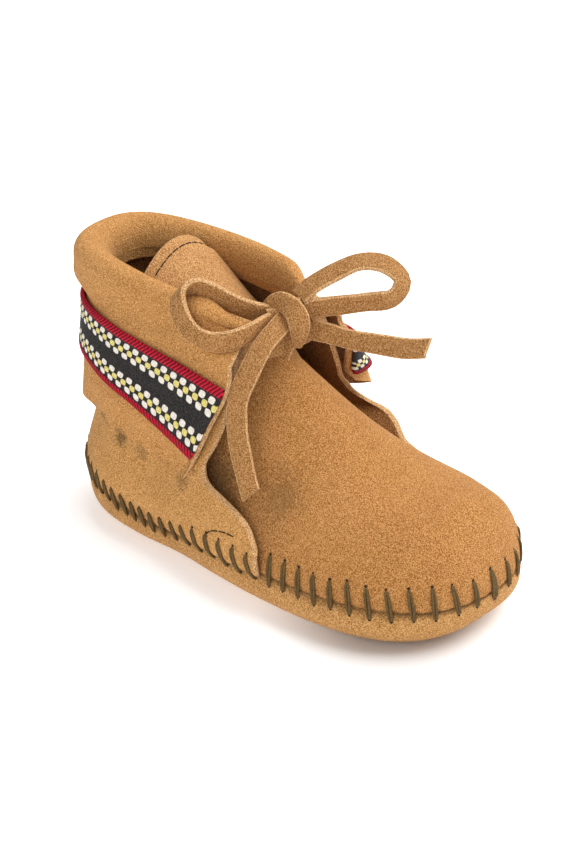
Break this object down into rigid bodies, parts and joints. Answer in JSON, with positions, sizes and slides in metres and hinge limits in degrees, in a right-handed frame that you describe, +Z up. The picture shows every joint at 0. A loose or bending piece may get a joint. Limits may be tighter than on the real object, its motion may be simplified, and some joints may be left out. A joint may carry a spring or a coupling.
{
  "type": "ankle boot",
  "caption": "Infant's soft-sole suede ankle boot with a rolled fold-down cuff, a woven ribbon band, a whip-stitched turned-up sole and a suede lace tied in a bow.",
  "frame": {"origin": "on the floor under the middle of the sole's length, on the boot's centre plane", "axes": "+X to the toe, +Y to the boot's left, +Z up"},
  "size_m": [0.1161, 0.0658, 0.0669],
  "materials": {
    "suede": "tan suede, napped, matt",
    "sole_suede": "tan suede, napped, matt",
    "lining": "flesh side of the suede, matt",
    "lace": "cut suede strip, matt",
    "ribbon": "woven ribbon, black, red, white and yellow",
    "thread": "waxed olive-brown thread"
  },
  "bodies": {
    "root": {"sole": "sole_suede", "insole": "lining", "upper": "suede", "tongue": "suede", "cuff": "suede", "trim": "ribbon", "lace_bar": "lace", "lace_knot": "lace", "lace_loop_right": "lace", "lace_loop_left": "lace", "lace_end_right": "lace", "lace_end_left": "lace"}
  },
  "joints": []
}
